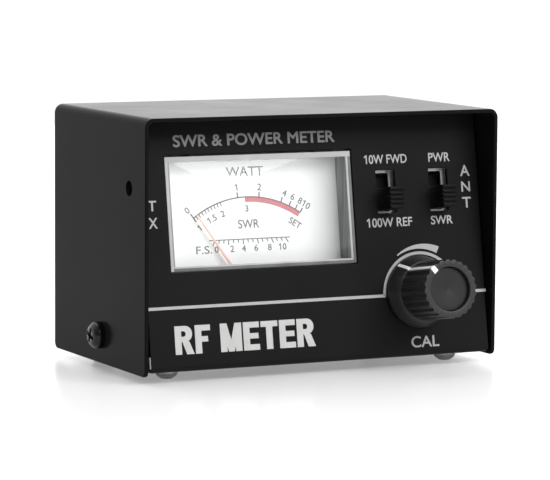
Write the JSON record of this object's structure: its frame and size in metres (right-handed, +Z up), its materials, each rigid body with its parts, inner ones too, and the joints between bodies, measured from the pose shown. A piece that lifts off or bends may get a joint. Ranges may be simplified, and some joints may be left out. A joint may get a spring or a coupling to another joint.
{
  "type": "swr meter",
  "caption": "Small black steel SWR and power meter with a sloping front panel, a moving-coil dial, slide switches, a calibration knob and rear coaxial sockets.",
  "frame": {"origin": "on the surface the feet stand on, under the middle of the whole object", "axes": "+X to the right as seen from the front, +Y to the rear, +Z up; the front panel faces -Y"},
  "size_m": [0.1214, 0.1009, 0.0762],
  "materials": {
    "cover_paint": "fine-textured satin black paint",
    "panel_paint": "smooth satin black paint with white printed legends",
    "black_hardware": "black oxide",
    "foot_rubber": "translucent grey",
    "clear_plastic": "clear polished",
    "foam": "matt foam",
    "case_plastic": "satin moulded",
    "dial_print": "matt white with dark grey and red print",
    "needle_paint": "matt red-orange",
    "steel": "bright zinc",
    "iron": "plated",
    "magnet": "ground",
    "copper": "enamelled copper",
    "brass": "turned",
    "nickel": "bright nickel plate",
    "black_plastic": "satin moulded",
    "white_plastic": "satin",
    "phenolic": "brown laminate",
    "board": "paper laminate with solder resist",
    "ceramic": "dipped ceramic",
    "diode_glass": "orange glass",
    "resistor_body": "lacquered with colour bands",
    "insulator": "white PTFE",
    "trimmer_blue": "moulded"
  },
  "bodies": {
    "case": {"top_cover": "cover_paint", "chassis": "panel_paint", "cover_screws": "black_hardware", "rubber_feet": "foot_rubber", "meter_window": "clear_plastic", "meter_gasket": "foam", "meter_case": "case_plastic", "dial_plate": "dial_print", "dial_screws": "steel", "core_magnet": "magnet", "meter_yoke": "iron", "front_bridge": "brass", "rear_bridge": "brass", "jewel_screws": "brass", "meter_terminals": "brass", "pot_bushing": "steel", "pot_body": "steel", "pot_nut": "nickel", "pot_washer": "nickel", "pot_wafer": "phenolic", "pot_terminals": "nickel", "control_board": "board", "ground_lugs": "nickel", "detector_board": "board", "through_line": "copper", "pickup_lines": "copper", "detector_diodes": "diode_glass", "load_resistors": "resistor_body", "bypass_capacitors": "ceramic", "range_switch_frame": "steel", "range_switch_base": "phenolic", "range_switch_contacts": "nickel", "mode_switch_frame": "steel", "mode_switch_base": "phenolic", "mode_switch_contacts": "nickel", "tx_socket_shell": "nickel", "tx_socket_insulator": "insulator", "tx_socket_contact": "nickel", "tx_socket_screws": "steel", "tx_socket_nuts": "steel", "ant_socket_shell": "nickel", "ant_socket_insulator": "insulator", "ant_socket_contact": "nickel", "ant_socket_screws": "steel", "ant_socket_nuts": "steel", "forward_trimmer_base": "trimmer_blue", "reflected_trimmer_base": "trimmer_blue"},
    "movement": {"needle": "needle_paint", "pivot_staff": "steel", "moving_coil": "copper", "hairsprings": "brass"},
    "calibration": {"cal_knob": "black_plastic", "cal_knob_cap": "black_plastic", "cal_pointer": "white_plastic", "pot_shaft": "steel", "pot_wiper": "white_plastic"},
    "range_switch": {"range_slider": "black_plastic"},
    "mode_switch": {"mode_slider": "black_plastic"},
    "forward_trimmer": {"forward_trimmer_rotor": "white_plastic"},
    "reflected_trimmer": {"reflected_trimmer_rotor": "white_plastic"}
  },
  "joints": [
    {"name": "needle_swing", "type": "hinge", "parent": "case", "child": "movement", "pos_m": [-0.0183, -0.02376, 0.02143], "axis": [0, 0.9875, -0.1575], "range_deg": [-2, 69], "stiffness_Nm_per_rad": 0.0004},
    {"name": "cal_turn", "type": "hinge", "parent": "case", "child": "calibration", "pos_m": [0.0325, -0.03924, 0.02375], "axis": [0, -0.9875, 0.1575], "range_deg": [-190, 110]},
    {"name": "range_slide", "type": "slide", "parent": "case", "child": "range_switch", "axis": [0, 0.1575, 0.9875], "range_m": [0, 0.0044]},
    {"name": "mode_slide", "type": "slide", "parent": "case", "child": "mode_switch", "axis": [0, 0.1575, 0.9875], "range_m": [0, 0.0044]},
    {"name": "forward_trim", "type": "hinge", "parent": "case", "child": "forward_trimmer", "pos_m": [-0.012, 0.01638, 0.0472], "axis": [0, -1, 0], "range_deg": [-130, 130]},
    {"name": "reflected_trim", "type": "hinge", "parent": "case", "child": "reflected_trimmer", "pos_m": [0.012, 0.01638, 0.0472], "axis": [0, -1, 0], "range_deg": [-130, 130]}
  ]
}
